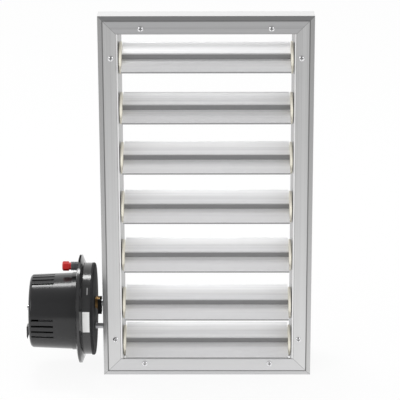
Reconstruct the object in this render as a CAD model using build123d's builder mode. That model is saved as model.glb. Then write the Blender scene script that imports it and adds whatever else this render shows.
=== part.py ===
from build123d import *
import os
from math import atan2, cos, sin, pi, radians, tan, sqrt

os.makedirs("parts", exist_ok=True)

# ---------------------------------------------------------------- driving dimensions (mm)
# X to the right, the front face looks toward -Y and is drawn at Y = 0, +Z is up from the underside.
frame_width = 302.0
frame_height = 536.0
face_width = 25.6
face_thickness = 2.4
web_thickness = 2.0
rim_depth = 33.0
rim_width = 6.0
rim_slope = 1.5
groove_width = 1.3
groove_depth = 0.9

axis_y = 25.0
blade_count = 7
rest_tilt = 14.5
top_room = 22.4
foot_room = 2.8
lap = 5.25
last_step_less = 14.2
lap_gap = 0.5
hub_height = 8.7
step_out = 5.0
edge_thickness = 2.1
skin = 1.4

axle_radius = 4.0
running = 0.05
jamb_thickness = 2.0
jamb_depth = 115.0
disc_radius = 23.0
disc_thickness = 3.8
disc_gap = 1.1
blade_gap = 0.1
bush_nose = 0.8

crank_radius = 14.0
crank_lead = 52.0
crank_stand_off = 12.6
crank_plate = 3.0
pin_radius = 2.5
link_width = 11.0
link_plate = 3.0

actuator_drop = 9.5
housing_radius = 66.5
disc_rim_radius = 79.0
cover_drop = 3.3
cover_radius = 55.8
cover_draft = 2.4
neck_proud = 0.9
actuator_stand_off = 12.0
base_thickness = 4.0
housing_length = 16.0
rim_overlap = 4.4
rim_length = 8.7
neck_length = 8.7
cover_length = 61.2
drive_radius = 5.0
sleeve_radius = 8.5

# ---------------------------------------------------------------- derived places
half_w = frame_width / 2
opening = half_w - face_width
jamb_in = opening - jamb_thickness
jamb_head_z = frame_height - face_width
disc_out = jamb_in - disc_gap
disc_in = disc_out - disc_thickness
blade_half = disc_in - blade_gap
blade_length = 2 * blade_half
# the blades share the height, lap each other by twice `lap` when shut, and the last one sits closer
pitch = (frame_height - top_room - foot_room - 2 * lap + last_step_less) / blade_count
half_chord = pitch / 2 + lap
axis_z = [frame_height - top_room - half_chord - i * pitch for i in range(blade_count - 1)]
axis_z.append(foot_room + half_chord)
drive_z = axis_z[-2]
body_z = drive_z - actuator_drop
cover_z = body_z - cover_drop
bore_radius = cover_radius - 7.8
end_radius = cover_radius - cover_draft
tilt = radians(rest_tilt)
crank_x = opening + crank_stand_off
link_x = crank_x + crank_plate + 0.5
# the actuator grows to the left from the left flange
plate_x = -half_w - actuator_stand_off
housing_x = plate_x - base_thickness
house_end_x = housing_x - housing_length
rim_x1 = house_end_x + rim_overlap
rim_x0 = rim_x1 - rim_length
neck_x = rim_x0 - neck_length
cover_end_x = neck_x - cover_length
gear_x = house_end_x + 3.5
pin_dy = crank_radius * cos(radians(crank_lead))
pin_dz = crank_radius * sin(radians(crank_lead))


def rod(x0, x1, y, z, r, mode=Mode.ADD):
    """Round bar along X from x0 to x1."""
    with Locations(Location((x0, y, z), (0, 90, 0))):
        Cylinder(r, x1 - x0, align=(Align.CENTER, Align.CENTER, Align.MIN), mode=mode)


def pin_y(x, y0, y1, z, r, mode=Mode.ADD):
    """Round bar along Y from y0 to y1."""
    with Locations(Location((x, y0, z), (-90, 0, 0))):
        Cylinder(r, y1 - y0, align=(Align.CENTER, Align.CENTER, Align.MIN), mode=mode)


def block(x0, x1, y0, y1, z0, z1, mode=Mode.ADD):
    """Plain rectangular block given by its six faces."""
    with Locations(((x0 + x1) / 2, (y0 + y1) / 2, (z0 + z1) / 2)):
        Box(x1 - x0, y1 - y0, z1 - z0, mode=mode)


def save(builder, name):
    """Everything is drawn from the front face; the stored origin is the middle of the underside."""
    piece = builder.part.moved(Location((0, -rim_depth / 2, 0)))
    piece.label = name
    export_step(piece, f"parts/{name}.step")


def blade_plane(x, z):
    """Plane across a blade: first direction to the front edge, second to its upper side."""
    return Plane(origin=(x, axis_y, z), x_dir=(0, -cos(tilt), -sin(tilt)), z_dir=(-1, 0, 0))


# ---------------------------------------------------------------- frame members
screw_r = 2.0
screw_in = 18.0
screw_span = 60.0
low_screw_z = 55.5
frame_screw_spots = []
for side in (-1, 1):
    frame_screw_spots.append((side * (half_w - screw_span), frame_height - screw_in))
    frame_screw_spots.append((side * (half_w - screw_span), screw_in))
    frame_screw_spots.append((side * (half_w - screw_in), frame_height - screw_span))
    frame_screw_spots.append((side * (half_w - screw_in), low_screw_z))


def section_points():
    """The extruded section: depth behind the face, distance from the outer edge."""
    g0 = rim_width
    g1 = rim_width + groove_width
    return [(rim_slope, 0.3), (rim_slope + 0.3, 0), (rim_depth, 0), (rim_depth, web_thickness),
            (face_thickness + 1.5, web_thickness), (face_thickness, web_thickness + 1.5),
            (face_thickness, face_width), (0.5, face_width), (0, face_width - 0.5),
            (0, g1), (groove_depth, g1 - 0.3), (groove_depth, g0 + 0.3), (0.1, g0)]


# each plane has its first direction to the rear and its second into the opening
member_planes = {
    "frame_top": (Plane(origin=(half_w, 0, frame_height), x_dir=(0, 1, 0), z_dir=(-1, 0, 0)), frame_width),
    "frame_bottom": (Plane(origin=(-half_w, 0, 0), x_dir=(0, 1, 0), z_dir=(1, 0, 0)), frame_width),
    "frame_left": (Plane(origin=(-half_w, 0, frame_height), x_dir=(0, 1, 0), z_dir=(0, 0, -1)), frame_height),
    "frame_right": (Plane(origin=(half_w, 0, 0), x_dir=(0, 1, 0), z_dir=(0, 0, 1)), frame_height),
}
reach = 45.0
mitre_outline = {
    "frame_top": [(-half_w, frame_height), (half_w, frame_height),
                  (half_w - reach, frame_height - reach), (-half_w + reach, frame_height - reach)],
    "frame_bottom": [(-half_w, 0), (half_w, 0), (half_w - reach, reach), (-half_w + reach, reach)],
    "frame_left": [(-half_w, 0), (-half_w, frame_height),
                   (-half_w + reach, frame_height - reach), (-half_w + reach, reach)],
    "frame_right": [(half_w, 0), (half_w, frame_height),
                    (half_w - reach, frame_height - reach), (half_w - reach, reach)],
}
lock_y = 18.0
lock_z = drive_z - 33.6
lock_radius = 4.0

for name in ("frame_top", "frame_bottom", "frame_left", "frame_right"):
    base_plane, run = member_planes[name]
    with BuildPart() as member:
        with BuildSketch(base_plane):
            with BuildLine():
                Polyline(section_points(), close=True)
            make_face()
        extrude(amount=run)
        with BuildSketch(Plane(origin=(0, -1, 0), x_dir=(1, 0, 0), z_dir=(0, -1, 0))):
            with BuildLine():
                Polyline(mitre_outline[name], close=True)
            make_face()
        extrude(amount=-(rim_depth + 2), mode=Mode.INTERSECT)
        for sx, sz in frame_screw_spots:
            pin_y(sx, -1, face_thickness + 1, sz, screw_r + 0.2, Mode.SUBTRACT)
        if name == "frame_left":
            rod(-half_w - 1, -half_w + 5, axis_y, drive_z, drive_radius + 1.0, Mode.SUBTRACT)
            rod(-half_w - 1, -half_w + 5, lock_y, lock_z, lock_radius, Mode.SUBTRACT)
    save(member, name)

# ---------------------------------------------------------------- corner keys and face screws
key_thick = 3.0
key_width = 13.0
key_arm = 74.0
with BuildPart() as corner_keys:
    for sx in (-1, 1):
        for low in (True, False):
            xs = sx * (half_w - screw_in)
            zs = screw_in if low else frame_height - screw_in
            xe = sx * (half_w - key_arm)
            ze = key_arm if low else frame_height - key_arm
            h = key_width / 2
            y0 = face_thickness
            y1 = face_thickness + key_thick
            block(min(xs - sx * -h, xe), max(xs - sx * -h, xe), y0, y1, zs - h, zs + h)
            if low:
                block(xs - h, xs + h, y0, y1, zs - h, ze)
            else:
                block(xs - h, xs + h, y0, y1, ze, zs + h)
    for sx, sz in frame_screw_spots:
        pin_y(sx, face_thickness - 1, face_thickness + key_thick + 1, sz, screw_r, Mode.SUBTRACT)
save(corner_keys, "corner_keys")

head_r = 3.9
head_h = 2.4
with BuildPart() as frame_screws:
    for sx, sz in frame_screw_spots:
        with BuildSketch(Plane(origin=(sx, 0, sz), x_dir=(1, 0, 0), z_dir=(0, 0, 1))):
            with BuildLine():
                Polyline((0, 8.0), (screw_r - 0.5, 8.0), (screw_r, 7.4), (screw_r, 0), (head_r, 0), (head_r, -1.0))
                ThreePointArc((head_r, -1.0), (head_r * 0.6, -head_h + 0.35), (0, -head_h))
                Line((0, -head_h), (0, 8.0))
            make_face()
        revolve(axis=Axis((sx, 0, sz), (0, 1, 0)))
        block(sx - 2.3, sx + 2.3, -head_h - 1, -head_h + 1.3, sz - 0.45, sz + 0.45, Mode.SUBTRACT)
        block(sx - 0.45, sx + 0.45, -head_h - 1, -head_h + 1.3, sz - 2.3, sz + 2.3, Mode.SUBTRACT)
save(frame_screws, "frame_screws")

# ---------------------------------------------------------------- jambs that carry the blades
bush_hole = 7.0
return_room = 84.0
return_z0 = return_room
return_z1 = frame_height - return_room - 2.0
return_width = 20.5
jamb_screw_x = half_w - 9.0
jamb_screw_z = [return_z0 + 26 + k * (return_z1 - return_z0 - 51) / 3 for k in range(4)]
tie_y0 = jamb_depth - 38.0
tie_y1 = jamb_depth - 2.0
tie_height = 9.0
tie_low_z = 10.0
tie_high_z = jamb_head_z - tie_height - 1.0
tie_screw_y = (jamb_depth - 30.0, jamb_depth - 10.0)
for side, name in ((-1, "jamb_left"), (1, "jamb_right")):
    with BuildPart() as jamb:
        a = min(side * jamb_in, side * opening)
        b = max(side * jamb_in, side * opening)
        block(a, b, 0.8, jamb_depth, 0, jamb_head_z)
        # clear of the bottom member and its corner key
        block(a - 1, b + 1, 0, 6.5, -1, face_width, Mode.SUBTRACT)
        block(a - 1, b + 1, 0, rim_depth, -1, web_thickness, Mode.SUBTRACT)
        c = side * (opening + return_width)
        d = side * (opening + 11.0)
        lip0 = face_thickness
        block(min(side * opening, c), max(side * opening, c), lip0, lip0 + jamb_thickness, return_z0, return_z1)
        block(min(side * opening, d), max(side * opening, d), jamb_depth - 2, jamb_depth, 0, jamb_head_z)
        for z in jamb_screw_z:
            pin_y(side * jamb_screw_x, lip0 - 1, lip0 + 4, z, 1.6, Mode.SUBTRACT)
        for z in axis_z:
            rod(-opening - 1 if side < 0 else jamb_in - 1, -jamb_in + 1 if side < 0 else opening + 1,
                axis_y, z, bush_hole, Mode.SUBTRACT)
        for z0 in (tie_low_z, tie_high_z):
            for y in tie_screw_y:
                rod(-opening - 1 if side < 0 else jamb_in - 1, -jamb_in + 1 if side < 0 else opening + 1,
                    y, z0 + tie_height / 2, 1.6, Mode.SUBTRACT)
    save(jamb, name)

with BuildPart() as rear_ties:
    for z0 in (tie_low_z, tie_high_z):
        with BuildSketch(Plane.YZ.offset(-jamb_in)):
            with Locations(((tie_y0 + tie_y1) / 2, z0 + tie_height / 2)):
                Rectangle(tie_y1 - tie_y0, tie_height)
        extrude(amount=2 * jamb_in)
        block(-jamb_in + 3, jamb_in - 3, tie_y0 + 1.5, tie_y1 - 1.5, z0 - 1, z0 + tie_height - 1.5, Mode.SUBTRACT)
        for y in tie_screw_y:
            rod(-jamb_in - 1, -jamb_in + 4, y, z0 + tie_height / 2, 1.5, Mode.SUBTRACT)
            rod(jamb_in - 4, jamb_in + 1, y, z0 + tie_height / 2, 1.5, Mode.SUBTRACT)
save(rear_ties, "rear_ties")

small_head = 2.9
with BuildPart() as jamb_screws:
    for side in (-1, 1):
        for z in jamb_screw_z:
            x = side * jamb_screw_x
            top = face_thickness + jamb_thickness
            pin_y(x, top, top + 2.0, z, small_head)
            pin_y(x, face_thickness, top, z, 1.5)
            block(x - 1.8, x + 1.8, top + 1.2, top + 3, z - 0.4, z + 0.4, Mode.SUBTRACT)
        for z0 in (tie_low_z, tie_high_z):
            for y in tie_screw_y:
                z = z0 + tie_height / 2
                if side < 0:
                    rod(-opening - 2.0, -opening, y, z, small_head)
                    rod(-opening, -jamb_in + 2.6, y, z, 1.5)
                    block(-opening - 3, -opening - 1.2, y - 1.8, y + 1.8, z - 0.4, z + 0.4, Mode.SUBTRACT)
                else:
                    rod(opening, opening + 2.0, y, z, small_head)
                    rod(jamb_in - 2.6, opening, y, z, 1.5)
                    block(opening + 1.2, opening + 3, y - 1.8, y + 1.8, z - 0.4, z + 0.4, Mode.SUBTRACT)
save(jamb_screws, "jamb_screws")

with BuildPart() as bushes:
    for z in axis_z:
        for side in (-1, 1):
            bore = drive_radius if (side < 0 and z == drive_z) else axle_radius
            inner = side * (jamb_in - bush_nose)
            outer = side * opening
            lip = side * (opening + 1.6)
            rod(min(inner, outer), max(inner, outer), axis_y, z, bush_hole)
            rod(min(outer, lip), max(outer, lip), axis_y, z, bush_hole + 3)
            rod(min(inner, lip) - 1, max(inner, lip) + 1, axis_y, z, bore + running, Mode.SUBTRACT)
save(bushes, "bushes")

# ---------------------------------------------------------------- stops behind the top and bottom faces
stop_thick = 1.6
with BuildPart() as stop_strips:
    top_in = frame_height - web_thickness
    far = blade_half - 1.0
    lap_face = axis_y - 0.4
    block(-far, far, lap_face, lap_face + stop_thick, frame_height - face_width - 1.2, top_in)
    block(-far, far, lap_face - 9, lap_face, top_in - stop_thick, top_in)
    lap_face = axis_y + 0.4
    block(-far, far, lap_face - stop_thick, lap_face, web_thickness, 22.0)
    block(-far, far, lap_face - stop_thick - 9, lap_face - stop_thick, web_thickness, web_thickness + stop_thick)
save(stop_strips, "stop_strips")

# ---------------------------------------------------------------- blades
low = lap_gap / 2


def far_wing_top():
    """Points along the crowned top of the rear wing, from its edge to the screw boss."""
    return [(-half_chord, low + edge_thickness), (-half_chord * 0.66, hub_height - 2.4),
            (-half_chord * 0.33, hub_height - 0.4), (step_out - 1.2, hub_height)]


for i, z in enumerate(axis_z):
    with BuildPart() as blade:
        with BuildSketch(blade_plane(blade_half, z)):
            # solid outline, point symmetric about the axle
            with BuildLine():
                ft = far_wing_top()
                nb = [(-a, -b) for a, b in ft]
                Spline(ft, tangents=[(1, 0.36), (1, -0.02)])
                Line(ft[-1], (step_out, hub_height - 1.2))
                Line((step_out, hub_height - 1.2), (step_out, -low))
                Line((step_out, -low), (half_chord, -low))
                Line((half_chord, -low), nb[0])
                Spline(nb, tangents=[(-1, -0.36), (-1, 0.02)])
                Line(nb[-1], (-step_out, -hub_height + 1.2))
                Line((-step_out, -hub_height + 1.2), (-step_out, low))
                Line((-step_out, low), (-half_chord, low))
                Line((-half_chord, low), ft[0])
            make_face()
            # rolled beads on both long edges
            with Locations((-half_chord + 1.5, low + 1.5), (half_chord - 1.5, -low - 1.5)):
                Circle(1.5)
            # hollow wings
            for s in (1, -1):
                with BuildLine():
                    c0 = (-s * (half_chord - 3.4), s * (low + skin))
                    c1 = (-s * (step_out + skin + 1.2), s * (low + skin))
                    c2 = (-s * (step_out + skin + 1.2), s * (hub_height - 0.15 - skin))
                    c3 = (-s * (half_chord - 3.4), s * (low + skin + 0.6))
                    Polyline(c3, c0, c1, c2)
                    Spline(c2, (-s * half_chord * 0.33, s * (hub_height - 0.5 - skin)),
                           (-s * half_chord * 0.66, s * (hub_height - 2.45 - skin)), c3)
                make_face(mode=Mode.SUBTRACT)
            Circle(axle_radius, mode=Mode.SUBTRACT)
        extrude(amount=blade_length)
    save(blade, f"blade_{i + 1}")

# ---------------------------------------------------------------- end discs, axles and cranks
for i, z in enumerate(axis_z):
    is_drive = z == drive_z
    with BuildPart() as discs:
        for side in (-1, 1):
            bore = drive_radius if (side < 0 and is_drive) else axle_radius
            with BuildSketch(Plane(origin=(0, axis_y, z), x_dir=(1, 0, 0), z_dir=(0, -1, 0))):
                with BuildLine():
                    Polyline([(side * disc_in, 0), (side * disc_in, disc_radius - 0.8),
                              (side * (disc_in + 0.8), disc_radius),
                              (side * (disc_out - 0.8), disc_radius), (side * disc_out, disc_radius - 0.8),
                              (side * disc_out, disc_radius - 4.0), (side * (disc_out - 0.6), disc_radius - 4.6),
                              (side * (disc_out - 0.6), 9.0), (side * disc_out, 8.4), (side * disc_out, 0)],
                             close=True)
                make_face()
            revolve(axis=Axis((0, axis_y, z), (1, 0, 0)))
            rod(min(side * (disc_in - 1), side * (disc_out + 1)), max(side * (disc_in - 1), side * (disc_out + 1)),
                axis_y, z, bore, Mode.SUBTRACT)
            for s in (-1, 1):
                # pegs that reach into the hollow wings
                u = s * 17.0
                v = -s * 4.2
                py = axis_y - u * cos(tilt) - v * sin(tilt)
                pz = z - u * sin(tilt) + v * cos(tilt)
                rod(min(side * (disc_in - 6), side * disc_in), max(side * (disc_in - 6), side * disc_in), py, pz, 1.9)
    save(discs, f"end_discs_{i + 1}")

    with BuildPart() as axles:
        rod(blade_half - 25, crank_x + crank_plate, axis_y, z, axle_radius)
        if is_drive:
            rod(gear_x - 0.5, -blade_half, axis_y, z, drive_radius)
            rod(-blade_half - 0.01, -blade_half + 25, axis_y, z, axle_radius)
        else:
            rod(-opening - 5.6, -blade_half + 25, axis_y, z, axle_radius)
            rod(-opening - 3.4, -opening - 2.2, axis_y, z, axle_radius + 2.2)
    save(axles, f"axles_{i + 1}")

    with BuildPart() as crank:
        with BuildSketch(Plane.YZ.offset(crank_x)):
            with Locations((axis_y, z)):
                Circle(7.5)
            with Locations((axis_y + pin_dy, z + pin_dz)):
                Circle(5.0)
            with Locations(Location((axis_y + pin_dy / 2, z + pin_dz / 2), crank_lead)):
                Rectangle(crank_radius, 9.0)
        extrude(amount=crank_plate)
        rod(opening + 2.2, crank_x, axis_y, z, 6.5)
        rod(opening, crank_x + crank_plate + 1, axis_y, z, axle_radius, Mode.SUBTRACT)
        rod(crank_x + crank_plate - 1, link_x + link_plate + 1.8, axis_y + pin_dy, z + pin_dz, pin_radius)
        rod(link_x + link_plate + 0.4, link_x + link_plate + 1.4, axis_y + pin_dy, z + pin_dz, pin_radius + 1.4)
    save(crank, f"crank_{i + 1}")

with BuildPart() as link_bar:
    with BuildSketch(Plane.YZ.offset(link_x)):
        top_pin = axis_z[0] + pin_dz
        low_pin = axis_z[-1] + pin_dz
        with Locations((axis_y + pin_dy, (top_pin + low_pin) / 2)):
            SlotCenterToCenter(top_pin - low_pin, link_width, rotation=90)
        for z in axis_z:
            with Locations((axis_y + pin_dy, z + pin_dz)):
                Circle(pin_radius + running, mode=Mode.SUBTRACT)
    extrude(amount=link_plate)
save(link_bar, "link_bar")

# ---------------------------------------------------------------- actuator body
module_out = 1.5
module_in = 1.0
out_teeth_count = 40
pinion_teeth_count = 12
mid_teeth_count = 32
motor_teeth_count = 12
mesh_gap = 0.15
mid_angle = radians(20.0)
mid_distance = module_out * (out_teeth_count + pinion_teeth_count) / 2 + mesh_gap
mid_y = axis_y + mid_distance * sin(mid_angle)
mid_gear_z = drive_z - mid_distance * cos(mid_angle)
motor_distance = module_in * (mid_teeth_count + motor_teeth_count) / 2 + mesh_gap
to_centre = sqrt((axis_y - mid_y) ** 2 + (cover_z - mid_gear_z) ** 2)
motor_y = mid_y + (axis_y - mid_y) / to_centre * motor_distance
motor_z = mid_gear_z + (cover_z - mid_gear_z) / to_centre * motor_distance
spindle_r = 2.5
shaft_r = 2.0
gear_plate_x0 = rim_x0 - 5.7
gear_plate_x1 = gear_plate_x0 + 2.0

with BuildPart() as act_base_plate:
    with BuildSketch(Plane(origin=(0, axis_y, body_z), x_dir=(1, 0, 0), z_dir=(0, -1, 0))):
        with BuildLine():
            Polyline((housing_x, 0), (housing_x, housing_radius + 1.0), (plate_x - 1.2, housing_radius + 1.0),
                     (plate_x, housing_radius - 0.4), (plate_x, 0), close=True)
        make_face()
    revolve(axis=Axis((0, axis_y, body_z), (1, 0, 0)))
    rod(housing_x - 1, plate_x + 1, axis_y, drive_z, sleeve_radius + running, Mode.SUBTRACT)
    rod(housing_x - 1, plate_x + 1, lock_y, lock_z, lock_radius, Mode.SUBTRACT)
    rod(housing_x - 1, housing_x + 2.5, mid_y, mid_gear_z, spindle_r, Mode.SUBTRACT)
save(act_base_plate, "act_base_plate")

housing_wall = 2.2
rib_count = 6
rib_pitch = 2.0
rib_height = 0.9
rib_start = 56.0
rib_arc = 74.0
with BuildPart() as act_housing:
    rod(house_end_x, housing_x, axis_y, body_z, housing_radius)
    # short cooling ribs round the top
    for k in range(rib_count):
        rib_x = housing_x - 0.8 - rib_pitch * k
        with BuildSketch(Plane(origin=(0, axis_y, body_z), x_dir=(1, 0, 0),
                               z_dir=(0, -sin(radians(rib_start)), cos(radians(rib_start))))):
            with Locations((rib_x, housing_radius)):
                Rectangle(rib_pitch / 2, 2 * rib_height)
        revolve(axis=Axis((0, axis_y, body_z), (1, 0, 0)), revolution_arc=rib_arc)
    rod(house_end_x - 1, housing_x + 1, axis_y, body_z, housing_radius - housing_wall, Mode.SUBTRACT)
save(act_housing, "act_housing")

with BuildPart() as act_flange_disc:
    with BuildSketch(Plane(origin=(0, axis_y, body_z), x_dir=(1, 0, 0), z_dir=(0, -1, 0))):
        with BuildLine():
            Polyline((rim_x0, bore_radius), (rim_x0, disc_rim_radius - 5.0), (rim_x0 + 1.6, disc_rim_radius),
                     (rim_x0 + 5.2, disc_rim_radius), (rim_x1, housing_radius + 4.0), (rim_x1, housing_radius),
                     (house_end_x, housing_radius), (house_end_x, bore_radius), close=True)
        make_face()
    revolve(axis=Axis((0, axis_y, body_z), (1, 0, 0)))
    # the rim is split at the top into two thin lips
    lip = rim_x0 + 3.4
    block(lip - 1.1, lip + 1.1, axis_y - 16, axis_y + 16, body_z + disc_rim_radius - 11.0,
          body_z + disc_rim_radius + 1, Mode.SUBTRACT)
    gland_z = body_z + cover_radius + 10.2
    rod(rim_x0 - 1, house_end_x + 1, axis_y, gland_z, 2.4, Mode.SUBTRACT)
save(act_flange_disc, "act_flange_disc")

cover_wall = 2.2
slot_length = 32.0
slot_angles = [g + s for g in (-9.5, 80.5, 170.5, 260.5) for s in (-14.8, -4.9, 4.9, 14.8)]
button_y = axis_y - 10.0
button_z = cover_z - 26.0
button_r = 6.5
post_circle = cover_radius - 17.8
cover_screw_spots = []
for a in (28, 148, 268):
    cover_screw_spots.append((axis_y - post_circle * cos(radians(a)), cover_z + post_circle * sin(radians(a))))
with BuildPart() as act_cover:
    with BuildSketch(Plane(origin=(0, axis_y, cover_z), x_dir=(1, 0, 0), z_dir=(0, -1, 0))):
        with BuildLine():
            collar = cover_radius + neck_proud
            Polyline((rim_x0, collar - 3.5), (rim_x0, collar), (neck_x, collar), (neck_x, cover_radius),
                     (cover_end_x + 5, end_radius))
            ThreePointArc((cover_end_x + 5, end_radius), (cover_end_x + 1.46, end_radius - 1.46),
                          (cover_end_x, end_radius - 5))
            Polyline((cover_end_x, end_radius - 5), (cover_end_x, 0), (cover_end_x + cover_wall, 0),
                     (cover_end_x + cover_wall, end_radius - 5.5), (cover_end_x + 5.5, end_radius - cover_wall),
                     (neck_x, cover_radius - cover_wall), (rim_x0, collar - 3.5))
        make_face()
    revolve(axis=Axis((0, axis_y, cover_z), (1, 0, 0)))
    for a in slot_angles:
        ra = radians(a)
        with Locations(Location((cover_end_x + 3.7 + slot_length / 2, axis_y - cover_radius * cos(ra),
                                 cover_z + cover_radius * sin(ra)), (-a, 0, 0))):
            Box(slot_length, 12.0, 3.0, mode=Mode.SUBTRACT)
    for y, z in cover_screw_spots:
        rod(cover_end_x - 1, cover_end_x + 5, y, z, 1.75, Mode.SUBTRACT)
    rod(cover_end_x - 1, cover_end_x + 5, button_y, button_z, button_r + 0.1, Mode.SUBTRACT)
save(act_cover, "act_cover")

plate_radius = cover_radius + neck_proud - 3.5
with BuildPart() as act_gear_plate:
    rod(gear_plate_x0, gear_plate_x1, axis_y, cover_z, plate_radius)
    rod(gear_plate_x0 - 1, gear_plate_x1 + 1, motor_y, motor_z, 8.0, Mode.SUBTRACT)
    # spindle of the compound gear, riveted in the plate
    rod(gear_plate_x0, housing_x + 2.5, mid_y, mid_gear_z, spindle_r)
    for y, z in cover_screw_spots:
        rod(cover_end_x + cover_wall, gear_plate_x0, y, z, 3.6)
        rod(cover_end_x, gear_plate_x1 + 1, y, z, 1.5, Mode.SUBTRACT)
    # wire notch below the cable entry
    block(gear_plate_x0 - 1, gear_plate_x1 + 1, axis_y - 5, axis_y + 5, cover_z + plate_radius - 6,
          cover_z + plate_radius + 3, Mode.SUBTRACT)
save(act_gear_plate, "act_gear_plate")

with BuildPart() as act_cover_screws:
    for y, z in cover_screw_spots:
        rod(cover_end_x - 2.2, cover_end_x, y, z, 3.9)
        rod(cover_end_x, cover_end_x + 18, y, z, 1.5)
        block(cover_end_x - 3, cover_end_x - 1.2, y - 2.4, y + 2.4, z - 0.4, z + 0.4, Mode.SUBTRACT)
        block(cover_end_x - 3, cover_end_x - 1.2, y - 0.4, y + 0.4, z - 2.4, z + 2.4, Mode.SUBTRACT)
save(act_cover_screws, "act_cover_screws")

with BuildPart() as act_gland:
    rod(rim_x0 - 10, rim_x0, axis_y, gland_z, 5.6)
    for k in range(4):
        rod(rim_x0 - 9.6 + 2.4 * k, rim_x0 - 8.2 + 2.4 * k, axis_y, gland_z, 6.4)
    rod(rim_x0 - 11, rim_x0 + 1, axis_y, gland_z, 2.4, Mode.SUBTRACT)
save(act_gland, "act_gland")

with BuildPart() as gland_plug:
    with BuildSketch(Plane.YZ.offset(rim_x0 - 22.6)):
        with Locations((axis_y, gland_z)):
            RegularPolygon(7.0, 6, rotation=15)
    extrude(amount=9.4)
    with BuildSketch(Plane.YZ.offset(rim_x0 - 13.2)):
        with Locations((axis_y, gland_z)):
            Circle(5.4)
    extrude(amount=3.2)
    chamfer(gland_plug.edges().group_by(Axis.X)[0], 1.2)
    rod(rim_x0 - 10.0, rim_x0 - 4, axis_y, gland_z, 2.4)
save(gland_plug, "gland_plug")

with BuildPart() as nameplate:
    with BuildSketch(Plane.YZ.offset(housing_x - 11.0)):
        with BuildLine():
            r0 = housing_radius
            r1 = housing_radius + 0.5
            angles = (-9.8, 3.3, 16.4)
            p = [(axis_y - r0 * cos(radians(a)), body_z + r0 * sin(radians(a))) for a in angles]
            q = [(axis_y - r1 * cos(radians(a)), body_z + r1 * sin(radians(a))) for a in angles]
            ThreePointArc(*p)
            Line(p[2], q[2])
            ThreePointArc(q[2], q[1], q[0])
            Line(q[0], p[0])
        make_face()
    extrude(amount=10.0)
save(nameplate, "nameplate")

with BuildPart() as latch_clip:
    with BuildSketch(Plane.YZ.offset(housing_x - 5.2)):
        with BuildLine():
            r1 = housing_radius + 1.4
            angles = (37.5, 42.0, 46.5)
            p = [(axis_y - r0 * cos(radians(a)), body_z + r0 * sin(radians(a))) for a in angles]
            q = [(axis_y - r1 * cos(radians(a)), body_z + r1 * sin(radians(a))) for a in angles]
            ThreePointArc(*p)
            Line(p[2], q[2])
            ThreePointArc(q[2], q[1], q[0])
            Line(q[0], p[0])
        make_face()
    extrude(amount=1.6)
save(latch_clip, "latch_clip")

# ---------------------------------------------------------------- motor, gears and drive
can_r = cover_radius - 28.8
can_x0 = gear_plate_x0 - 52.0
with BuildPart() as act_motor:
    rod(can_x0, gear_plate_x0, motor_y, motor_z, can_r)
    rod(can_x0 + 2, gear_plate_x0 - 2, motor_y, motor_z, can_r - 1.6, Mode.SUBTRACT)
    rod(gear_plate_x0 - 0.01, gear_plate_x1, motor_y, motor_z, 8.0)
    rod(can_x0 - 3, can_x0 + 0.01, motor_y, motor_z, 6.0)
    rod(can_x0 - 4, gear_plate_x1 + 1, motor_y, motor_z, shaft_r + running, Mode.SUBTRACT)
    for s in (-1, 1):
        # field magnets inside the can
        block(can_x0 + 10, gear_plate_x0 - 8, motor_y - 9, motor_y + 9,
              min(motor_z + s * 19, motor_z + s * 24.5), max(motor_z + s * 19, motor_z + s * 24.5))
save(act_motor, "act_motor")


def gear_outline(cy, cz, module, teeth, first_tooth, backlash=0.24):
    """Closed tooth outline in the Y, Z plane; first_tooth is the angle of one tooth from +Y toward +Z."""
    r = module * teeth / 2
    tip = r + 0.85 * module
    root = r - 1.2 * module
    half = pi / (2 * teeth) - backlash / (2 * r)
    lean = tan(radians(20))
    at_tip = half - lean * 0.85 * module / tip
    at_root = min(half + lean * 1.2 * module / root, pi / teeth - 0.02)
    pts = []
    for k in range(teeth):
        c = first_tooth + 2 * pi * k / teeth
        for da, rr in ((-at_root, root), (-half, r), (-at_tip, tip), (at_tip, tip), (half, r), (at_root, root)):
            pts.append((cy + rr * cos(c + da), cz + rr * sin(c + da)))
    return pts


to_mid = -pi / 2 + mid_angle
to_motor = atan2(motor_z - mid_gear_z, motor_y - mid_y)

with BuildPart() as output_gear:
    with BuildSketch(Plane.YZ.offset(gear_x)):
        with BuildLine():
            Polyline(gear_outline(axis_y, drive_z, module_out, out_teeth_count, to_mid), close=True)
        make_face()
        with Locations((axis_y, drive_z)):
            Circle(sleeve_radius, mode=Mode.SUBTRACT)
            with PolarLocations(19.0, 5, start_angle=90):
                Circle(5.5, mode=Mode.SUBTRACT)
    extrude(amount=8.0)
save(output_gear, "output_gear")

with BuildPart() as drive_sleeve:
    rod(gear_x - 0.5, plate_x + 6.4, axis_y, drive_z, sleeve_radius)
    rod(plate_x + 2.1, plate_x + 3.6, axis_y, drive_z, sleeve_radius + 1.6)
    rod(gear_x - 1.5, plate_x + 8, axis_y, drive_z, drive_radius, Mode.SUBTRACT)
save(drive_sleeve, "drive_sleeve")

with BuildPart() as shaft_clamp:
    with BuildSketch(Plane.YZ.offset(plate_x + 3.6)):
        with Locations((axis_y, drive_z - 4.0)):
            RectangleRounded(20.0, 22.0, 2.0)
        with Locations((axis_y, drive_z)):
            Circle(sleeve_radius, mode=Mode.SUBTRACT)
    extrude(amount=5.6)
    for s in (-1, 1):
        with Locations((plate_x + 6.4, axis_y + s * 7.0, drive_z - 12.0)):
            Cylinder(1.6, 4, mode=Mode.SUBTRACT)
save(shaft_clamp, "shaft_clamp")

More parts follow.
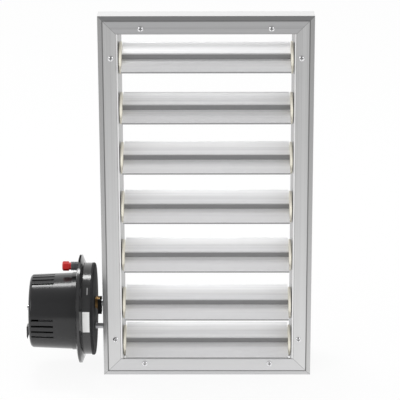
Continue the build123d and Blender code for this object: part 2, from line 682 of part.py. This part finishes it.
with BuildPart() as gear_compound:
    with BuildSketch(Plane.YZ.offset(gear_x - 1.1)):
        with BuildLine():
            Polyline(gear_outline(mid_y, mid_gear_z, module_out, pinion_teeth_count,
                                  to_mid + pi + pi / pinion_teeth_count), close=True)
        make_face()
    extrude(amount=10.6)
    with BuildSketch(Plane.YZ.offset(gear_x - 6.9)):
        with BuildLine():
            Polyline(gear_outline(mid_y, mid_gear_z, module_in, mid_teeth_count, to_motor), close=True)
        make_face()
    extrude(amount=5.0)
    rod(gear_plate_x1 + 0.4, gear_x - 0.5, mid_y, mid_gear_z, 5.0)
    rod(gear_x + 7.5, housing_x - 0.4, mid_y, mid_gear_z, 5.0)
    rod(gear_plate_x1 - 1, housing_x, mid_y, mid_gear_z, spindle_r + running, Mode.SUBTRACT)
save(gear_compound, "gear_compound")

with BuildPart() as motor_rotor:
    with BuildSketch(Plane.YZ.offset(gear_x - 7.3)):
        with BuildLine():
            Polyline(gear_outline(motor_y, motor_z, module_in, motor_teeth_count,
                                  to_motor + pi + pi / motor_teeth_count), close=True)
        make_face()
    extrude(amount=5.8)
    rod(can_x0 - 3, gear_x - 2.5, motor_y, motor_z, shaft_r)
    rod(can_x0 + 7, gear_plate_x0 - 13, motor_y, motor_z, can_r - 11)
    for k in range(5):
        a = 2 * pi * k / 5
        rod(can_x0 + 6, gear_plate_x0 - 12, motor_y + (can_r - 12) * cos(a), motor_z + (can_r - 12) * sin(a),
            2.2, Mode.SUBTRACT)
save(motor_rotor, "motor_rotor")

with BuildPart() as lock_rod:
    rod(housing_x + 1.0, -half_w + 9.0, lock_y, lock_z, lock_radius)
    with BuildSketch(Plane.YZ.offset(-half_w + web_thickness)):
        with Locations((lock_y, lock_z)):
            RegularPolygon(7.5, 6)
    extrude(amount=4.5)
save(lock_rod, "lock_rod")

board_z = cover_z + 33.5
with BuildPart() as circuit_board:
    block(gear_plate_x0 - 49, gear_plate_x0, axis_y - 22, axis_y + 20, board_z, board_z + 1.6)
    block(gear_plate_x0 - 45, gear_plate_x0 - 27, axis_y - 16, axis_y + 12, board_z + 1.6, board_z + 11.5)
    for k in range(4):
        rod(gear_plate_x0 - 45.5, gear_plate_x0 - 43.5, axis_y - 12.5 + 7 * k, board_z + 6.5, 1.6, Mode.SUBTRACT)
    with Locations((gear_plate_x0 - 13, axis_y + 6, board_z + 1.6)):
        Cylinder(5.0, 10.0, align=(Align.CENTER, Align.CENTER, Align.MIN))
    with Locations((gear_plate_x0 - 16, axis_y - 12, board_z + 1.6)):
        Box(8, 8, 3.0, align=(Align.CENTER, Align.CENTER, Align.MIN))
save(circuit_board, "circuit_board")

paddle_out = 6.4
paddle_in = 3.0
with BuildPart() as release_button:
    # stem with a collar behind the cover wall
    rod(cover_end_x - paddle_in - 0.5, cover_end_x + 6.0, button_y, button_z, button_r)
    rod(cover_end_x + cover_wall, cover_end_x + 6.0, button_y, button_z, button_r + 1.6)
    # hooked paddle outside
    with BuildSketch(Plane(origin=(0, button_y + 6, 0), x_dir=(1, 0, 0), z_dir=(0, -1, 0))):
        with BuildLine():
            Polyline((cover_end_x - paddle_in, button_z + 7.5), (cover_end_x - paddle_out + 1, button_z + 7.5),
                     (cover_end_x - paddle_out, button_z + 6.0), (cover_end_x - paddle_out, button_z - 8.0),
                     (cover_end_x - paddle_out + 0.8, button_z - 12.5), (cover_end_x - paddle_in, button_z - 5.0),
                     close=True)
        make_face()
    extrude(amount=12.0)
save(release_button, "release_button")
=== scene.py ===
# %% [markdown]
# # A volume control damper
# This lesson dresses a finished set of solids: a mitred aluminium frame, seven tilting blades and a
# round geared actuator. The solids already hold every shape and every place, so most cells here are
# about finish: how extruded aluminium, nylon, enamel and moulded plastic answer to light. The first
# cell loads the solids.

# %% Load the solids
import math

import bpy
from mathutils import Matrix, Vector


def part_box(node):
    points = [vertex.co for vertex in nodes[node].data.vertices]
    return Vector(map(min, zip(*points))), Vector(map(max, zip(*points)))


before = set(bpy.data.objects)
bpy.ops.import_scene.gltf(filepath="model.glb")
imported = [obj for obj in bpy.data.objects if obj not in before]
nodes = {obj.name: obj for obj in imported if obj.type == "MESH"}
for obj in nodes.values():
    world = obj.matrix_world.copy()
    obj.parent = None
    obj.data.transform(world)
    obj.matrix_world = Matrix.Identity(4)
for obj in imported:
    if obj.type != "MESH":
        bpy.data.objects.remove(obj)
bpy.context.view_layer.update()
BLADE_COUNT = 7


def each(name):
    """The names of one piece on every blade."""
    return [f"{name}_{i}" for i in range(1, BLADE_COUNT + 1)]


print("blades:", ", ".join(each("blade")))

# %% [markdown]
# ## The camera
# A product picture of a tall, flat object is taken from far away with a long lens, so that the
# sides stay nearly parallel. The camera stands a little above the top edge and looks down. Turning
# is written as three plain rotations, because each of them can then be reasoned about alone.

# %% Camera
LENS, SENSOR = 177.6, 36.0
FAR_CLIP = 60.0
PITCH, YAW, ROLL = math.radians(17.76), math.radians(0.60), math.radians(-0.23)
CAMERA_PLACE = (0.01873, -2.69335, 1.12668)

camera_data = bpy.data.cameras.new("studio_camera")
camera_data.lens = LENS
camera_data.sensor_width = SENSOR
camera_data.clip_end = FAR_CLIP
camera = bpy.data.objects.new("studio_camera", camera_data)
bpy.context.scene.collection.objects.link(camera)
camera.matrix_world = (Matrix.Translation(CAMERA_PLACE) @ Matrix.Rotation(YAW, 4, "Z")
                       @ Matrix.Rotation(math.pi / 2 - PITCH, 4, "X") @ Matrix.Rotation(ROLL, 4, "Z"))
bpy.context.scene.camera = camera
print("camera at", tuple(round(v, 3) for v in camera.location))

# %% [markdown]
# ## Shader maths in plain Python
# Procedural materials are sums and products of noises. Wiring Math nodes by hand hides the idea,
# so a small class wraps a socket and lets `+`, `-`, `*` and `/` add the nodes. The reflected forms
# make `1 - mask` work too.


# %% A socket with arithmetic
class Value:
    """A socket that carries a number, with arithmetic."""

    def __init__(self, recipe, socket):
        self.recipe, self.socket = recipe, socket

    def _math(self, operation, a, b=0.0):
        return self.recipe.add("ShaderNodeMath", {"operation": operation}, {0: a, 1: b})

    def __add__(self, other):
        return self._math("ADD", self, other)

    def __sub__(self, other):
        return self._math("SUBTRACT", self, other)

    def __rsub__(self, other):
        return self._math("SUBTRACT", other, self)

    def __mul__(self, other):
        return self._math("MULTIPLY", self, other)

    def __truediv__(self, other):
        return self._math("DIVIDE", self, other)

    __radd__ = __add__
    __rmul__ = __mul__

    def size(self):
        return self._math("ABSOLUTE", self)

    def least(self, other):
        return self._math("MINIMUM", self, other)

    def most(self, other):
        return self._math("MAXIMUM", self, other)

    def step(self, low, high):
        """0 below low, 1 above high, smooth between."""
        return self.recipe.add("ShaderNodeMapRange", {"interpolation_type": "SMOOTHSTEP"},
                               {"Value": self, "From Min": low, "From Max": high})


print("a Value adds, subtracts, multiplies and divides, and has:",
      ", ".join(name for name in vars(Value) if not name.startswith("_")))

# %% [markdown]
# ## A recipe for one material
# Blender's Principled shader covers metal, paint and plastic alike, so one class holds that shader
# and everything that feeds it. A single method adds any other node from its type, its settings and
# its sockets, and the few methods below name what this damper needs: places, noises, masks that
# shift the colour, and a bump.


# %% Recipe
class Recipe:
    """One material: a Principled shader and the nodes that feed it."""

    def __init__(self, name, colour, roughness, metallic=0.0, **more):
        self.material = bpy.data.materials.new(name)
        self.material.use_nodes = True
        self.tree = self.material.node_tree
        self.shader = self.tree.nodes["Principled BSDF"]
        self.colour = colour
        self.put("Base Color", (*colour, 1.0))
        self.put("Roughness", roughness)
        self.put("Metallic", metallic)
        for socket, value in more.items():
            self.put(socket.replace("_", " "), value)
        self.material.diffuse_color = (*colour, 1.0)

    @classmethod
    def on_world(cls, world):
        """The same wiring for the room around the object."""
        recipe = cls.__new__(cls)
        recipe.tree = world.node_tree
        recipe.shader = recipe.tree.nodes["Background"]
        return recipe

    def put(self, socket, value, node=None):
        """Sets a socket to a constant, or links a wrapped socket to it."""
        target = (node or self.shader).inputs[socket]
        if isinstance(value, Value):
            self.tree.links.new(value.socket, target)
        else:
            target.default_value = value

    def add(self, kind, settings=None, values=None, out=0):
        """Any node: its type, then its settings, then its sockets."""
        node = self.tree.nodes.new(kind)
        for name, setting in (settings or {}).items():
            if name == "stops":
                ramp = node.color_ramp
                ramp.elements[0].position, ramp.elements[-1].position = setting[0][0], setting[-1][0]
                for place, tone in setting[1:-1]:
                    ramp.elements.new(place)
                for element, (place, tone) in zip(ramp.elements, setting):
                    element.color = (*tone, 1.0)
            else:
                setattr(node, name, setting)
        for socket, value in (values or {}).items():
            self.put(socket, value, node)
        return Value(self, node.outputs[out])

    def place(self, scale=(1, 1, 1)):
        """Position in the object's own metres, stretched by scale."""
        where = self.add("ShaderNodeTexCoord", out=3)
        return self.add("ShaderNodeMapping", None, {"Vector": where, "Scale": scale})

    def split(self, vector):
        """The three numbers of a vector."""
        parts = self.add("ShaderNodeSeparateXYZ", None, {"Vector": vector}).socket.node
        return [Value(self, parts.outputs[k]) for k in range(3)]

    def axes(self):
        """The three coordinates of a point, in metres."""
        return self.split(self.add("ShaderNodeTexCoord", out=3))

    def ray(self, kind):
        """1 for rays of one kind, 0 for the others."""
        return Value(self, self.add("ShaderNodeLightPath").socket.node.outputs[kind])

    def facing(self, direction):
        """1 where the surface faces a direction of the object, -1 where it faces away."""
        normal = self.add("ShaderNodeTexCoord", out=1)
        return self.add("ShaderNodeVectorMath", {"operation": "DOT_PRODUCT"},
                        {0: normal, 1: direction}, out=1)

    def noise(self, scale, stretch=(1, 1, 1), detail=4.0):
        return self.add("ShaderNodeTexNoise", None,
                        {"Vector": self.place(stretch), "Scale": scale, "Detail": detail})

    def tint(self, mask, colour):
        """Moves the base colour toward another where the mask is 1."""
        mix = self.add("ShaderNodeMix", {"data_type": "RGBA"}, {}, out=2)
        node = mix.socket.node
        self.put(0, mask, node)
        old = self.shader.inputs["Base Color"]
        if old.is_linked:
            self.tree.links.new(old.links[0].from_socket, node.inputs[6])
        else:
            node.inputs[6].default_value = old.default_value
        node.inputs[7].default_value = (*colour, 1.0)
        self.put("Base Color", mix)

    def bump(self, height, depth):
        """Raises the surface by height times depth metres."""
        self.put("Normal", self.add("ShaderNodeBump", None,
                                    {"Height": height, "Distance": depth, "Strength": 1.0}))


print("a Recipe has:", ", ".join(name for name in vars(Recipe) if not name.startswith("_")))

# %% [markdown]
# ## Giving a finish to a piece
# Several solids share one finish, as parts cut from the same bar or moulded from the same granulate
# do. So a material is made once and handed to solids by name, and the print shows who wears what.


# %% Finish a piece
def finish(recipe, *names):
    """Gives a material to solids by name."""
    for name in names:
        nodes[name].data.materials.clear()
        nodes[name].data.materials.append(recipe.material)
    print(recipe.material.name, "->", ", ".join(names))


def shade(colour, factor):
    """The same colour, darker or lighter."""
    return tuple(min(1.0, factor * c) for c in colour)


# %% [markdown]
# ## Anodised extrusion
# The frame is a profile pushed through a die. The die leaves very fine lines along the length, and
# anodising turns them satin. So noise is stretched along the member: barely changing along it, and
# quickly across it. Fine lines and broad bands shift the roughness and, by a little, the colour. The
# bump is a fiftieth of a millimetre, because die lines are felt more than seen.

# %% Extruded aluminium
ALONG_X, ALONG_Z = (3, 900, 900), (900, 900, 3)
DIE_LINE = 0.00002
LINE_SHADE, BAND_SHADE, CLOUD_SHADE = 0.87, 1.07, 1.05


def extruded(name, colour, roughness, stretch, metallic=0.8):
    metal = Recipe(name, colour, roughness, metallic)
    lines = metal.noise(1.0, stretch, 6.0)
    bands = metal.noise(0.16, stretch, 2.0)
    cloud = metal.noise(9.0, detail=3.0)
    metal.put("Roughness", roughness - 0.06 + 0.07 * lines + 0.05 * cloud)
    metal.tint(lines.step(0.40, 0.62) * 0.8, shade(colour, LINE_SHADE))
    metal.tint(bands.step(0.45, 0.65) * 0.7, shade(colour, BAND_SHADE))
    metal.tint(cloud.step(0.5, 0.8) * 0.25, shade(colour, CLOUD_SHADE))
    metal.bump(lines, DIE_LINE)
    metal.lines = lines
    return metal


print("lines run along X:", ALONG_X, "along Z:", ALONG_Z)

# %% [markdown]
# ## Frame
# Each member has a flat face, a sloped rim and a narrow groove between them. The rim and the groove
# are painted darker, as painted shade, and the rim's painted shade is weaker toward the foot. Both
# are measured from the outer edge, so one number, the distance from that edge, places both tones.
# A saw cut shows as a hairline where two members meet at 45 degrees: there the distance from the
# side equals the distance from the end. The inner lip, past the inner edge of the face, is painted
# darker as painted shade, and faces that look straight up are painted a light grey as painted light.
# The top member is a darker copy of the anodising (painted shade) and the bottom member a lighter
# copy (painted light). The uprights are painted paler toward the foot, as painted light standing in
# for the light the floor throws back on them.

# %% Frame finish
frame_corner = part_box("frame_top")[1]
HALF_WIDTH, FRAME_TOP = frame_corner[0], frame_corner[2]
RIM, GROOVE, FACE = 0.0060, 0.0014, 0.0256
FRAME_ROUGHNESS = 0.36
SOFT_RIM, SOFT_GROOVE = 0.0004, 0.0003
HAIRLINE_CORE, HAIRLINE_EDGE = 0.0002, 0.0006
LIP_START, LIP_FULL = FACE - 0.0010, FACE - 0.0004
RIM_PAINTED_SHADE_AT_FOOT = 0.35
RIM_PAINTED_SHADE, GROOVE_PAINTED_SHADE, HAIRLINE_SHADE, LIP_PAINTED_SHADE = 0.66, 0.50, 0.45, 0.80
TOP_FACE_PAINTED_LIGHT = (0.76, 0.76, 0.76)


def frame_finish(name, colour, stretch, foot=1.0):
    metal = extruded(name, colour, FRAME_ROUGHNESS, stretch)
    x, _, z = metal.axes()
    # painted light: with foot above 1 the member is painted paler toward the foot, for the light the
    # floor throws back
    low = 1.0 - z * (1.0 / FRAME_TOP)
    metal.tint(low * low, shade(colour, foot))
    from_side = HALF_WIDTH - x.size()
    from_end = z.least(FRAME_TOP - z)
    from_edge = from_side.least(from_end)
    # painted shade: the sloped rim is painted darker, weaker toward the foot
    rim = 1.0 - from_edge.step(RIM - SOFT_RIM, RIM)
    metal.tint(rim * (RIM_PAINTED_SHADE_AT_FOOT + z * ((1.0 - RIM_PAINTED_SHADE_AT_FOOT) / FRAME_TOP)), shade(colour, RIM_PAINTED_SHADE))
    # painted shade: the narrow groove is painted darker
    past_groove = from_edge.step(RIM + GROOVE, RIM + GROOVE + SOFT_GROOVE)
    groove = from_edge.step(RIM - SOFT_GROOVE, RIM) * (1.0 - past_groove)
    metal.tint(groove, shade(colour, GROOVE_PAINTED_SHADE))
    mitre = 1.0 - (from_side - from_end).size().step(HAIRLINE_CORE, HAIRLINE_EDGE)
    metal.tint(mitre * 0.8, shade(colour, HAIRLINE_SHADE))
    # painted shade: the inner lip past the face's inner edge is painted darker
    metal.tint(from_edge.step(LIP_START, LIP_FULL), shade(colour, LIP_PAINTED_SHADE))
    # painted light: faces that look straight up are painted a light grey
    metal.tint(metal.facing((0, 0, 1)).step(0.9, 0.98), TOP_FACE_PAINTED_LIGHT)
    return metal


# painted shade and light: the top member is a darker copy of the anodising, the bottom member a lighter
# one
finish(frame_finish("anodised_top_painted_shade", (0.50, 0.50, 0.505), ALONG_X), "frame_top")
finish(frame_finish("anodised_bottom_painted_light", (0.70, 0.70, 0.705), ALONG_X), "frame_bottom")
finish(frame_finish("anodised_sides", (0.59, 0.59, 0.59), ALONG_Z, 1.25),
       "frame_left", "frame_right")

# %% [markdown]
# ## Blades
# The blades are extruded too, but brighter: a finer die and a thinner anodic layer. The solid has
# the curve of the wing, and the bump adds a last crown of under a millimetre to the rear one, so the
# light slides across it. The front wing is painted a little darker toward its front edge, as painted
# shade from the blade above, and the ledge between the wings is painted dark, as painted shade,
# because it faces down and forward. That side is found by its direction, so it needs no outline.

# %% Blades
BLADE_COLOUR = (0.95, 0.95, 0.96)
TILT = math.radians(14.5)
blade_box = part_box("blade_4")
BLADE_MIDDLE = (blade_box[0][1] + blade_box[1][1]) / 2
WING_MIDDLE, WING_HALF = 0.022, 0.020
FRONT_EDGE, LEDGE_SIDE = -0.038, -0.008
CROWN = 0.0009
BLADE_ROUGHNESS, BLADE_METALLIC = 0.36, 0.40
FRONT_PAINTED_SHADE, LEDGE_PAINTED_SHADE = 0.86, 0.30

blade_metal = extruded("anodised_blade", BLADE_COLOUR, BLADE_ROUGHNESS, ALONG_X, BLADE_METALLIC)
chord = blade_metal.axes()[1] - BLADE_MIDDLE
across_wing = (chord - WING_MIDDLE) / WING_HALF
crown = (1.0 - across_wing * across_wing) * chord.step(-0.001, 0.001)
blade_metal.bump(crown + blade_metal.lines * 0.01, CROWN)
# painted shade: the front wing is painted darker toward its front edge, for the blade above
forward = 1.0 - chord.step(FRONT_EDGE, LEDGE_SIDE)
blade_metal.tint(forward * 0.9, shade(BLADE_COLOUR, FRONT_PAINTED_SHADE))
# painted shade: the ledge that faces down and forward is painted dark
ledge = blade_metal.facing((0, -math.cos(TILT), -math.sin(TILT))).step(0.6, 0.9)
blade_metal.tint(ledge, shade(BLADE_COLOUR, LEDGE_PAINTED_SHADE))
finish(blade_metal, *each("blade"))

# %% [markdown]
# ## Jambs, ties and stops
# These are mill finish sheet: no anodising, so the tone is greyer. The rolling lines run up a jamb
# and along a tie, so each direction has its own material. The jambs' copy is painted much darker
# than the ties' one, as painted shade on their inner faces. The front edge of a jamb is a sheared
# edge with a painted highlight along it.

# %% Sheet
SHEET_ROUGHNESS = 0.34
SHEARED_EDGE_PAINTED_HIGHLIGHT = (0.92, 0.92, 0.92)
SHEARED_FULL, SHEARED_END = 0.0004, 0.0010
JAMB_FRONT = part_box("jamb_left")[0][1]

# painted shade: the jambs' sheet is a much darker copy of the ties' sheet
jamb_sheet_painted_shade = extruded("mill_sheet", (0.34, 0.34, 0.34), SHEET_ROUGHNESS, ALONG_Z)
# painted highlight along the front edge of each jamb
edge_highlight_mask = 1.0 - jamb_sheet_painted_shade.axes()[1].step(JAMB_FRONT + SHEARED_FULL, JAMB_FRONT + SHEARED_END)
jamb_sheet_painted_shade.tint(edge_highlight_mask, SHEARED_EDGE_PAINTED_HIGHLIGHT)
sheet_across = extruded("mill_sheet_across", (0.60, 0.60, 0.60), SHEET_ROUGHNESS, ALONG_X)
finish(jamb_sheet_painted_shade, "jamb_left", "jamb_right")
finish(sheet_across, "rear_ties", "stop_strips")


# %% [markdown]
# ## Bright and plated steel
# Screws are chromed: nearly a mirror. Cranks, keys, link and axles are zinc plated, which is a
# crystalline layer: small patches of slightly different brightness, for which Voronoi cells serve.
# A screw's cross recess is painted dark, as painted shade where little light gets in. Ambient
# Occlusion measures that, and its reach is set to about the width of the recess.

# %% Steel
CRYSTAL_SCALE, CRYSTAL_DEPTH = 420.0, 0.000015
PAINTED_RECESS_SHADE = (0.02, 0.02, 0.02)
RECESS = 0.0016


def plated(name, colour, roughness):
    steel = Recipe(name, colour, roughness, 1.0)
    patches = steel.add("ShaderNodeTexVoronoi", None, {"Vector": steel.place(), "Scale": CRYSTAL_SCALE})
    haze = steel.noise(60.0, detail=5.0)
    steel.tint(patches.step(0.2, 0.8) * 0.3, shade(colour, 0.8))
    steel.put("Roughness", roughness - 0.06 + 0.16 * haze)
    steel.bump(patches, CRYSTAL_DEPTH)
    return steel


def with_painted_recess_shade(steel, reach):
    """Paints shade into recesses narrower than reach."""
    open_sky = steel.add("ShaderNodeAmbientOcclusion", {"samples": 8, "only_local": True},
                         {"Distance": reach}, out=1)
    steel.tint(1.0 - open_sky.step(0.45, 0.95), PAINTED_RECESS_SHADE)
    return steel


# painted shade in the narrow recesses of the chromed parts
chrome = with_painted_recess_shade(plated("bright_screw", (0.86, 0.86, 0.87), 0.14), RECESS)
zinc = plated("zinc_plate", (0.64, 0.645, 0.66), 0.33)
dull_steel = plated("passivated_steel", (0.16, 0.16, 0.165), 0.45)
gear_metal = plated("hobbed_steel", (0.50, 0.50, 0.52), 0.30)
finish(chrome, "frame_screws", "act_cover_screws", "latch_clip")
finish(zinc, "corner_keys", "jamb_screws", "link_bar", "lock_rod", *each("axles"), *each("crank"))
finish(dull_steel, "act_gear_plate", "act_motor")
finish(gear_metal, "output_gear", "gear_compound", "motor_rotor")

# %% [markdown]
# ## Moulded plastics
# Nylon discs, the actuator's shell and its small parts are injection moulded. A mould is never
# perfectly smooth: a fine grain breaks the shine, and dust and handling vary it slowly. The enamel
# of the actuator's base is made the same way, only harder and glossier, so a higher index of
# refraction gives it a stronger shine. Its base plate is matt, and a low index keeps it quiet.

# %% Plastic
GRAIN_SCALE, GRAIN_DEPTH = 900.0, 0.00002
POLISHED_GRAIN = 0.000006


def moulded(name, colour, roughness, grain=GRAIN_SCALE, depth=GRAIN_DEPTH, **more):
    plastic = Recipe(name, colour, roughness, 0.0, **more)
    fine = plastic.noise(grain, detail=3.0)
    slow = plastic.noise(25.0, detail=4.0)
    plastic.put("Roughness", roughness - 0.06 + 0.06 * fine + 0.10 * slow)
    worn = tuple(min(1.0, 1.12 * c + 0.004) for c in colour)
    plastic.tint(slow.step(0.45, 0.75) * 0.35, worn)
    plastic.bump(fine, depth)
    return plastic


cream_nylon = moulded("cream_nylon", (0.90, 0.86, 0.74), 0.42)
white_nylon = moulded("white_nylon", (0.80, 0.80, 0.77), 0.40)
shell = moulded("dark_shell", (0.018, 0.018, 0.019), 0.17, 700.0, POLISHED_GRAIN, IOR=1.5)
enamel = moulded("dark_enamel", (0.022, 0.022, 0.023), 0.13, 500.0, POLISHED_GRAIN, IOR=1.65)
matt_enamel = moulded("matt_enamel", (0.016, 0.016, 0.017), 0.60, 500.0, GRAIN_DEPTH, IOR=1.3)
plate = moulded("blank_plate", (0.84, 0.84, 0.83), 0.45)
red_plug = moulded("red_plug", (0.52, 0.004, 0.002), 0.30)
gland = moulded("grey_gland", (0.085, 0.087, 0.092), 0.40)
board = moulded("circuit_board", (0.03, 0.20, 0.07), 0.35)
finish(cream_nylon, *each("end_discs"))
finish(white_nylon, "bushes")
finish(shell, "act_cover", "release_button")
finish(enamel, "act_housing", "act_flange_disc")
finish(matt_enamel, "act_base_plate")
finish(plate, "nameplate")
finish(red_plug, "gland_plug")
finish(gland, "act_gland")
finish(board, "circuit_board")

# %% [markdown]
# ## Brass and black oxide
# The drive sleeve is turned brass and the shaft clamp is blackened steel. Both sit in the shade
# between the actuator and the frame. Black oxide hardly reflects, so it takes the plastic recipe
# with a low index of refraction, which is simpler than a metal darkened until it looks right.

# %% Drive parts
brass = plated("turned_brass", (0.25, 0.15, 0.06), 0.34)
oxide = moulded("black_oxide", (0.003, 0.003, 0.003), 0.45, 600.0, IOR=1.3)
finish(brass, "drive_sleeve")
finish(oxide, "shaft_clamp")

# %% [markdown]
# ## Floor
# The damper stands on a pale, matt floor. A floor lit well enough to look white would bleach the
# object too, so it glows by itself for camera rays and mirror rays alone, through a Mix Shader. The
# rest is plain paint, which keeps the soft contact shadow. In the metal's reflections the floor is
# darker in front and bright under the damper, which keeps the bottom member from going dark.

# %% Floor
FLOOR_SIZE = 14.0
GLOW_SHARE = 0.9
FRONT_FLOOR, UNDER_DAMPER = -2.6, 0.1
FRONT_LOSS, UNDER_GAIN = 0.30, 0.32

bpy.ops.mesh.primitive_plane_add(size=FLOOR_SIZE, location=(0, 0, 0))
floor = bpy.context.active_object
floor.name = "studio_floor"
floor_paint = Recipe("studio_floor", (0.90, 0.90, 0.90), 0.9)
seen, in_mirror = floor_paint.ray("Is Camera Ray"), floor_paint.ray("Is Glossy Ray")
mottle = floor_paint.noise(2.0)
floor_paint.put("Roughness", 0.85 + 0.1 * mottle)
near = floor_paint.axes()[1].step(FRONT_FLOOR, UNDER_DAMPER)
grey = 1.0 - in_mirror * (FRONT_LOSS - UNDER_GAIN * near)
tone = floor_paint.add("ShaderNodeCombineColor", None, {k: grey for k in range(3)})
glow = floor_paint.add("ShaderNodeEmission", None, {"Color": tone, "Strength": 1.0})
mixed = floor_paint.add("ShaderNodeMixShader", None, {"Fac": seen.most(in_mirror) * GLOW_SHARE})
floor_paint.tree.links.new(floor_paint.shader.outputs[0], mixed.socket.node.inputs[1])
floor_paint.tree.links.new(glow.socket, mixed.socket.node.inputs[2])
floor_paint.tree.links.new(mixed.socket, floor_paint.tree.nodes["Material Output"].inputs["Surface"])
floor.data.materials.append(floor_paint.material)
print("floor:", FLOOR_SIZE, "m wide")

# %% [markdown]
# ## The room
# Metal has little colour of its own and mostly shows the room, so the room is painted for it: pale
# near the horizon, greyer overhead, and darker on the side in front. Matt surfaces get one even
# ambient level instead, and the camera sees plain white. Light Path tells these rays apart, so all
# three can be set without one spoiling another.

# %% Room
AMBIENT = 0.86
SKY = [(0.0, 1.05), (0.30, 1.05), (0.55, 0.95), (0.75, 0.80), (1.0, 0.60)]
FRONT_WALL = 0.35

world = bpy.data.worlds.new("studio_world")
bpy.context.scene.world = world
world.use_nodes = True
room = Recipe.on_world(world)
mirrored = room.ray("Is Glossy Ray")
plain = room.ray("Is Camera Ray").most(room.ray("Is Transmission Ray"))
_, back, height = room.split(room.add("ShaderNodeTexCoord"))
rise = room.add("ShaderNodeValToRGB", {"stops": [(place, (tone,) * 3) for place, tone in SKY]},
                {"Fac": height})
room_tone = rise * (FRONT_WALL + (1.0 - FRONT_WALL) * back.step(-0.7, 0.35))
strength = AMBIENT + (room_tone - AMBIENT) * mirrored
strength = strength + (1.0 - strength) * plain
room.put("Color", (1.0, 1.0, 1.0, 1.0))
room.put("Strength", strength)
print("ambient", AMBIENT)

# %% [markdown]
# ## Lamps
# One softbox hangs over the actuator and draws the bright line along its round cover. A line is as
# wide as its lamp looks from the surface, so this box is narrow. Two larger and weaker ones in front
# fill the shadows from both sides, and none is strong enough to wash out the dark shell.


# %% Lamps
def softbox(name, place, aim, width, height, power):
    lamp = bpy.data.lights.new(name, "AREA")
    lamp.shape = "RECTANGLE"
    lamp.size, lamp.size_y, lamp.energy = width, height, power
    holder = bpy.data.objects.new(name, lamp)
    bpy.context.scene.collection.objects.link(holder)
    holder.location = place
    holder.rotation_euler = (Vector(aim) - Vector(place)).to_track_quat("-Z", "Y").to_euler()
    print(name, power, "W")


DAMPER_MIDDLE = (0, 0, 0.25)
OVER_ACTUATOR = (-0.5, 0, 0.2)
softbox("overhead", (-0.5, 0.72, 2.6), OVER_ACTUATOR, 0.9, 0.50, 19.0)
softbox("front_left", (-2.2, -2.0, 1.8), DAMPER_MIDDLE, 1.6, 1.6, 12.0)
softbox("front_right", (2.2, -2.2, 1.6), DAMPER_MIDDLE, 1.6, 1.6, 10.0)

# %% [markdown]
# ## View transform
# The picture is rendered under the plain Standard transform.

# %% View transform
bpy.context.scene.view_settings.view_transform = "Standard"
